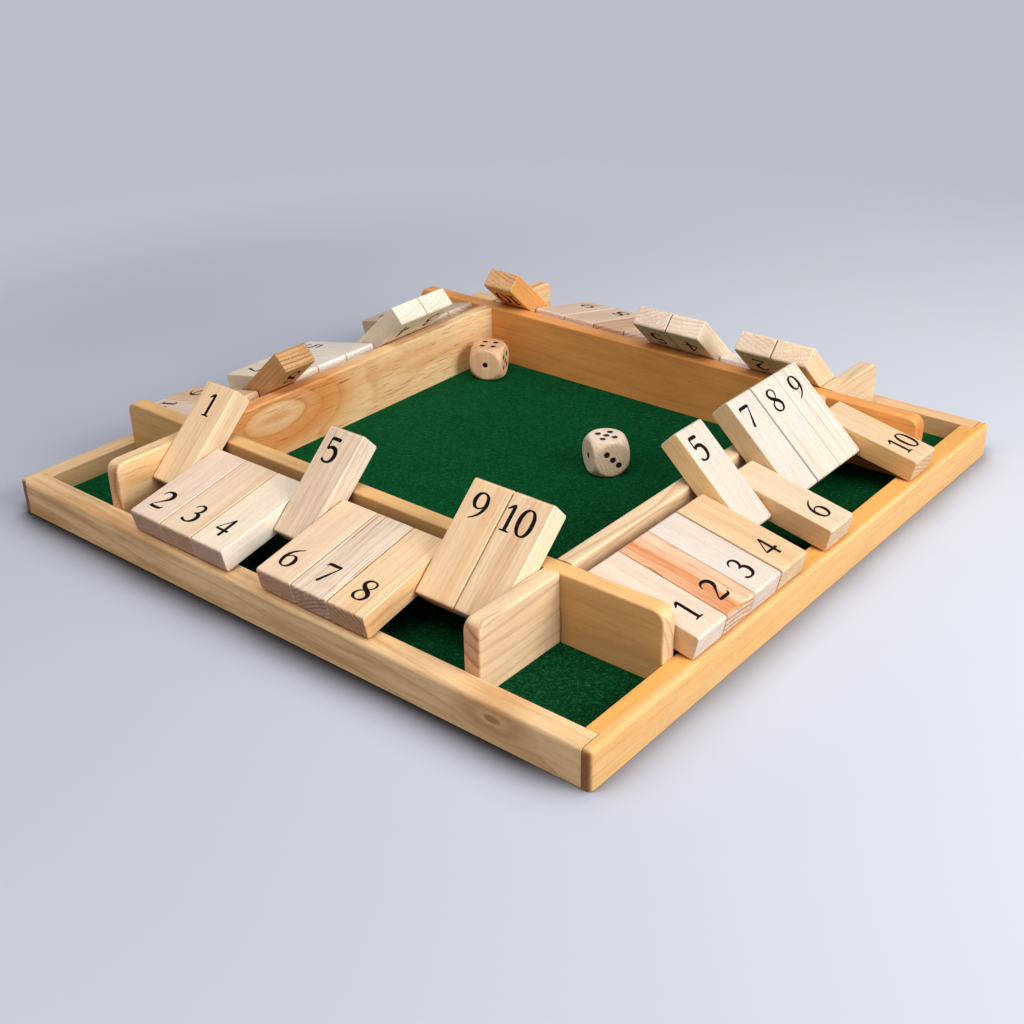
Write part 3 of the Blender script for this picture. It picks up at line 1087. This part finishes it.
def die_surface(count=64):
    """On each face, (u, v) runs over a square. The point (u, v, half) is scaled by
    (1 + (length / ball)^k)^(-1/k), a soft choice of the nearer of the cube and the ball. Inside a
    pip the height falls by depth (1 - (r / pip)^2)^0.8. Points shared by two faces are joined."""
    half = DIE / 2
    line = half * np.sin(np.linspace(-0.4 * math.pi, 0.4 * math.pi, count)) / math.sin(0.4 * math.pi)
    u, v = np.meshgrid(line, line, indexing="ij")
    flat = np.stack([u.ravel(), v.ravel(), np.full(count * count, half)], axis=1)
    reach = np.linalg.norm(flat, axis=1, keepdims=True) / (DIE_BALL / 2)
    face = flat * (1 + reach ** 60) ** (-1 / 60)
    points, faces, gaps = [], [], []
    for i, (value, axis, angle) in enumerate(DIE_FACES):
        shaped = face.copy()
        centres = np.array(PIPS[value], float) * PIP_STEP
        gap = np.linalg.norm(shaped[:, None, :2] - centres[None], axis=2).min(axis=1)
        shaped[:, 2] -= PIP_DEPTH * np.clip(1 - (gap / PIP_R) ** 2, 0.0, 1.0) ** 0.8
        points.append(shaped @ spin(axis, angle).T)
        faces.append(grid_quads(count, i * count * count))
        gaps.append(gap)
    points, faces, gaps = np.concatenate(points), np.concatenate(faces), np.concatenate(gaps)
    _, first, joined = np.unique(np.round(points, 4), axis=0, return_index=True, return_inverse=True)
    return points[first], joined.ravel()[faces], gaps[first]

# %% [markdown]
# Both dice are pale wood, one a little darker. The mesh keeps each point's distance to the nearest
# pip's middle, so the black paint in the pips has a crisp edge without a finer mesh.

# %% Finish and place the dice
def die_finish(name, seed, early, late):
    """Pale wood with the shared pattern, and black paint where the pip distance is short."""
    material = wood(name, seed, early=early, late=late, streak=late, ring=1.6, contrast=0.16, streaks=0.25,
                    end=(0.94, 0.88, 0.82))
    tree = material.node_tree
    shader = tree.nodes["Principled BSDF"]
    gap = wire(tree, "ShaderNodeAttribute", {}, "Fac", attribute_name="pip_distance")
    bare = Value(shader.inputs["Base Color"].links[0].from_socket)
    feed(shader, {"Base Color": mix(ramp(gap, 1.24, 1.36, 1.0, 0.0), bare, paint(20, 12, 10))})
    return material


die_points, die_faces, pip_gaps = die_surface()
for n, (x, y, turn, tilt, early, late) in enumerate(DICE, 1):
    turned = spin("z", turn) @ spin("x", tilt)
    placed = die_points @ turned.T + [x, y, FELT_TOP + DIE_GAP + DIE / 2]
    timber = np.stack([die_points[:, 1] + DICE_APART * n, die_points[:, 0] + DIE_PITH[0],
                       die_points[:, 2] + DIE_PITH[1]], axis=1)
    put(f"wooden_die_{n}", placed, die_faces.tolist(), die_finish(f"die_wood_{n}", 60.0 + n, early, late),
        f"die_{n}_body", [f"die_{n}"], timber, turned[:, 1], extra={"pip_distance": pip_gaps})
print("die", len(die_faces), "faces, widest", round(float(np.ptp(die_points[:, 0])), 2), "mm")

# %% [markdown]
# ## Rods, pins and base board
#
# The steel rods and pins and the plywood base keep their CAD shape, because a rod is a rod. They
# hardly show, but a board that is picked up shows its underside, so they get a finish too: drawn
# wire with fine lines along it, and plywood with a pale face veneer and stripes of ply at its edge.

# %% Finish the pieces kept from the CAD model
PLYWOOD_LOW, TWO_PLIES = 0.0015, 0.00267


def steel(name, along):
    """Bright wire: grey metal whose roughness varies in long thin lines along the given axis."""
    material, tree, shader = new_material(name)
    stretch = [5000.0, 5000.0, 5000.0]
    stretch[along] = 60.0
    lines = noise(place_on(tree) * stretch, 1.0, detail=3.0)
    feed(shader, {"Base Color": mix(lines, paint(176, 178, 182), paint(206, 207, 210)),
                  "Roughness": ramp(lines, 0.2, 0.8, 0.22, 0.42), "Metallic": 1.0})
    return material


def plywood_finish():
    """A pale veneer with long figure. On upright faces every second ply, by height, is darker."""
    material, tree, shader = new_material("plywood")
    where = place_on(tree)
    veneer = noise(where * (14.0, 160.0, 160.0), 6.0, 5.0, 0.6)
    layer = ((where.axis(2) - PLYWOOD_LOW) / TWO_PLIES).math("FRACT")
    level = wire(tree, "ShaderNodeTexCoord", {}, "Normal").axis(2).math("ABSOLUTE")
    edge = ramp(level, 0.3, 0.6, 1.0, 0.0) * ramp(layer, 0.45, 0.55)
    colour = mix(ramp(veneer, 0.3, 0.7), paint(222, 190, 148), paint(188, 146, 100))
    feed(shader, {"Base Color": mix(edge, colour, paint(150, 106, 66)),
                  "Roughness": ramp(veneer, 0.2, 0.8, 0.6, 0.8), "Normal": relief(veneer, 0.5, 0.0001)})
    return material


def dress(nodes, material):
    """Gives CAD nodes their finish."""
    for node in nodes:
        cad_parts[node].data.materials.clear()
        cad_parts[node].data.materials.append(material)


dress(("rod_front", "rod_back"), steel("rod_steel_x", 0))
dress(("rod_right", "rod_left"), steel("rod_steel_y", 1))
dress(("rail_pins", "wall_pins"), steel("pin_steel", 2))
dress(("base_board",), plywood_finish())
